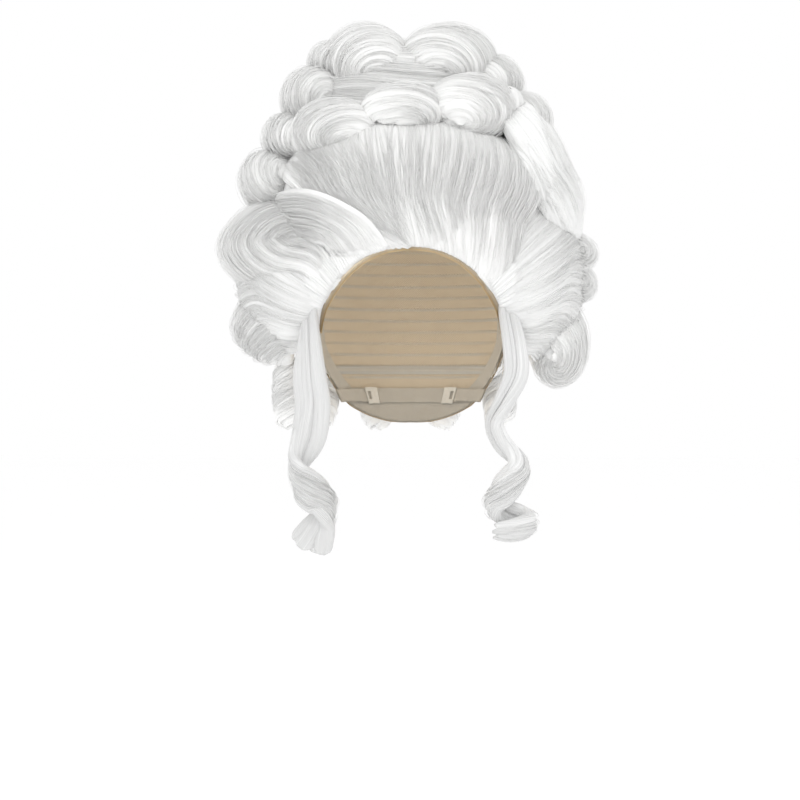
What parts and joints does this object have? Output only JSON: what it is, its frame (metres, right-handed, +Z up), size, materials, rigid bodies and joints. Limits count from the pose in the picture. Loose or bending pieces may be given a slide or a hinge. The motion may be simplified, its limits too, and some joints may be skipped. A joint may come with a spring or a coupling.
{
  "type": "costume wig",
  "caption": "Tall white court wig with an open adjustable stretch cap, rolled curls piled high and long ringlets hanging in front of the ears.",
  "frame": {"origin": "flat inside face of the crown patch, where the top of the wearer's head bears", "axes": "+Z up, -Y the way the face looks, +X to the right of someone facing the wig"},
  "size_m": [0.2822, 0.2471, 0.4],
  "materials": {
    "hair": "white synthetic hair, combed into locks, soft satin shine",
    "weft": "machine-sewn track of white hair",
    "net": "open stretch net",
    "band": "tan woven tape",
    "elastic": "ribbed elastic",
    "plastic": "moulded, slightly glossy",
    "foam": "open-cell foam"
  },
  "bodies": {
    "wig": {"cap_crown_net": "net", "cap_front_net": "net", "cap_back_net": "net", "cap_nape_net": "net", "cap_side_net_left": "net", "cap_side_net_right": "net", "crown_patch": "net", "hairline_band": "band", "nape_band": "elastic", "weft_track_1": "weft", "weft_track_2": "weft", "weft_track_3": "weft", "weft_track_4": "weft", "pocket_tape": "elastic", "foam_riser": "foam", "side_roll_left": "hair", "side_lower_curl_left": "hair", "side_curl_right_lower": "hair", "side_curl_right_upper": "hair", "side_sweep_right": "hair", "crown_curl_left_lower": "hair", "crown_curl_left_middle": "hair", "crown_curl_left_upper": "hair", "crown_curl_left_top": "hair", "top_curl_left": "hair", "top_curl_right": "hair", "crown_curl_right_top": "hair", "crown_curl_right_upper": "hair", "front_curl_left": "hair", "front_curl_middle": "hair", "front_curl_right": "hair", "top_curl_back": "hair", "back_upper_curl_left": "hair", "back_upper_curl_middle": "hair", "back_upper_curl_right": "hair", "back_lower_curl_left": "hair", "back_lower_curl_middle": "hair", "back_lower_curl_right": "hair", "front_pompadour": "hair", "side_base_left": "hair", "side_base_right": "hair", "back_mass": "hair", "crown_mound": "hair"},
    "nape_curl_1_body": {"nape_curl_1": "hair"},
    "nape_curl_2_body": {"nape_curl_2": "hair"},
    "nape_curl_3_body": {"nape_curl_3": "hair"},
    "nape_curl_4_body": {"nape_curl_4": "hair"},
    "nape_curl_5_body": {"nape_curl_5": "hair"},
    "ringlet_left_upper_body": {"ringlet_upper_left": "hair"},
    "ringlet_left_lower_body": {"ringlet_lower_left": "hair"},
    "ringlet_right_upper_body": {"ringlet_upper_right": "hair"},
    "ringlet_right_lower_body": {"ringlet_lower_right": "hair"},
    "ear_tab_left_body": {"ear_tab_left": "band", "ear_tab_stay_left": "plastic"},
    "ear_tab_right_body": {"ear_tab_right": "band", "ear_tab_stay_right": "plastic"},
    "adjuster_strap_left_body": {"adjuster_strap_left": "elastic"},
    "adjuster_hook_left_body": {"adjuster_hook_left": "plastic"},
    "adjuster_strap_right_body": {"adjuster_strap_right": "elastic"},
    "adjuster_hook_right_body": {"adjuster_hook_right": "plastic"}
  },
  "joints": [
    {"name": "nape_curl_1_swing", "type": "hinge", "parent": "wig", "child": "nape_curl_1_body", "pos_m": [-0.09466, 0.03192, -0.151], "axis": [0.2588, 0.9659, 0], "range_deg": [0, 25]},
    {"name": "nape_curl_2_swing", "type": "hinge", "parent": "wig", "child": "nape_curl_2_body", "pos_m": [-0.0705, 0.07724, -0.151], "axis": [0.6947, 0.7193, 0], "range_deg": [0, 25]},
    {"name": "nape_curl_3_swing", "type": "hinge", "parent": "wig", "child": "nape_curl_3_body", "pos_m": [-0.02701, 0.10497, -0.151], "axis": [0.9613, 0.2756, 0], "range_deg": [0, 25]},
    {"name": "nape_curl_4_swing", "type": "hinge", "parent": "wig", "child": "nape_curl_4_body", "pos_m": [0.02701, 0.10497, -0.151], "axis": [0.9613, -0.2756, 0], "range_deg": [0, 25]},
    {"name": "nape_curl_5_swing", "type": "hinge", "parent": "wig", "child": "nape_curl_5_body", "pos_m": [0.0705, 0.07724, -0.151], "axis": [0.6947, -0.7193, 0], "range_deg": [0, 25]},
    {"name": "ringlet_left_swing", "type": "hinge", "parent": "wig", "child": "ringlet_left_upper_body", "pos_m": [-0.07473, -0.061, -0.104], "axis": [0, 1, 0], "range_deg": [-4, 20]},
    {"name": "ringlet_left_tip_swing", "type": "hinge", "parent": "ringlet_left_upper_body", "child": "ringlet_left_lower_body", "pos_m": [-0.083, -0.0636, -0.209], "axis": [1, 0, 0], "range_deg": [-18, 18]},
    {"name": "ringlet_right_swing", "type": "hinge", "parent": "wig", "child": "ringlet_right_upper_body", "pos_m": [0.07473, -0.061, -0.104], "axis": [0, -1, 0], "range_deg": [-4, 20]},
    {"name": "ringlet_right_tip_swing", "type": "hinge", "parent": "ringlet_right_upper_body", "child": "ringlet_right_lower_body", "pos_m": [0.083, -0.0636, -0.209], "axis": [1, 0, 0], "range_deg": [-18, 18]},
    {"name": "ear_tab_left_flex", "type": "hinge", "parent": "wig", "child": "ear_tab_left_body", "pos_m": [-0.0746, -0.018, -0.1126], "axis": [0, 1, 0], "range_deg": [-12, 25], "stiffness_Nm_per_rad": 0.002},
    {"name": "ear_tab_right_flex", "type": "hinge", "parent": "wig", "child": "ear_tab_right_body", "pos_m": [0.0746, -0.018, -0.1126], "axis": [0, -1, 0], "range_deg": [-12, 25], "stiffness_Nm_per_rad": 0.002},
    {"name": "adjuster_strap_left_bend", "type": "hinge", "parent": "wig", "child": "adjuster_strap_left_body", "pos_m": [-0.0556, 0.0321, -0.158], "axis": [0.3781, -0.1845, -0.9072], "range_deg": [0, 50], "stiffness_Nm_per_rad": 0.0005},
    {"name": "adjuster_hook_left_tip", "type": "hinge", "parent": "adjuster_strap_left_body", "child": "adjuster_hook_left_body", "pos_m": [-0.03466, 0.06602, -0.158], "axis": [0.2331, -0.4104, -0.8816], "range_deg": [0, 40]},
    {"name": "adjuster_strap_right_bend", "type": "hinge", "parent": "wig", "child": "adjuster_strap_right_body", "pos_m": [0.0556, 0.0321, -0.158], "axis": [0.3781, 0.1845, 0.9072], "range_deg": [0, 50], "stiffness_Nm_per_rad": 0.0005},
    {"name": "adjuster_hook_right_tip", "type": "hinge", "parent": "adjuster_strap_right_body", "child": "adjuster_hook_right_body", "pos_m": [0.03466, 0.06602, -0.158], "axis": [0.2331, 0.4104, 0.8816], "range_deg": [0, 40]}
  ]
}
